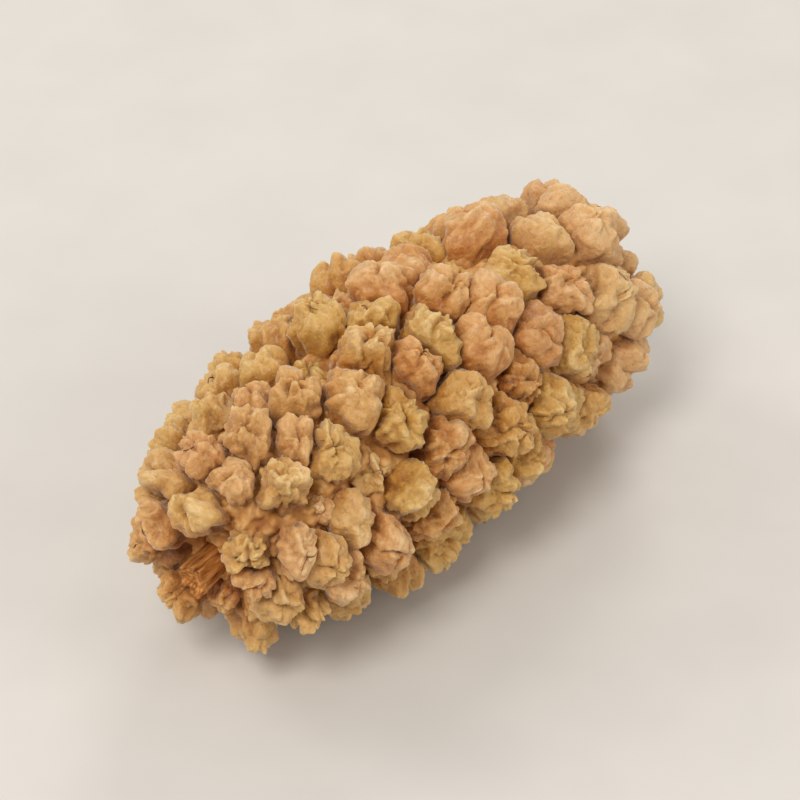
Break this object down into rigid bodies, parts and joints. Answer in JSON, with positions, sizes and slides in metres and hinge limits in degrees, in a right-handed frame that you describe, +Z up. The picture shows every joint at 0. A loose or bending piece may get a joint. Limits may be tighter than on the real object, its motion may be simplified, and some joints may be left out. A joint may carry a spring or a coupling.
{
  "type": "dried mulberry",
  "caption": "Whole dried white mulberry lying on its side, its shrivelled drupelets packed round a soft core, with a short broken stalk stub.",
  "frame": {"origin": "centre of the bounding box, at the height of the surface that the berry lies on", "axes": "+X from the stalk end to the tip, +Z up"},
  "size_m": [0.022, 0.0106, 0.0099],
  "materials": {
    "fruit_flesh": "dried, slightly waxy fruit flesh, pale honey brown",
    "stalk": "dry, dull brown plant fibre"
  },
  "bodies": {
    "root": {"fruit": "fruit_flesh", "stalk": "stalk"}
  },
  "joints": []
}
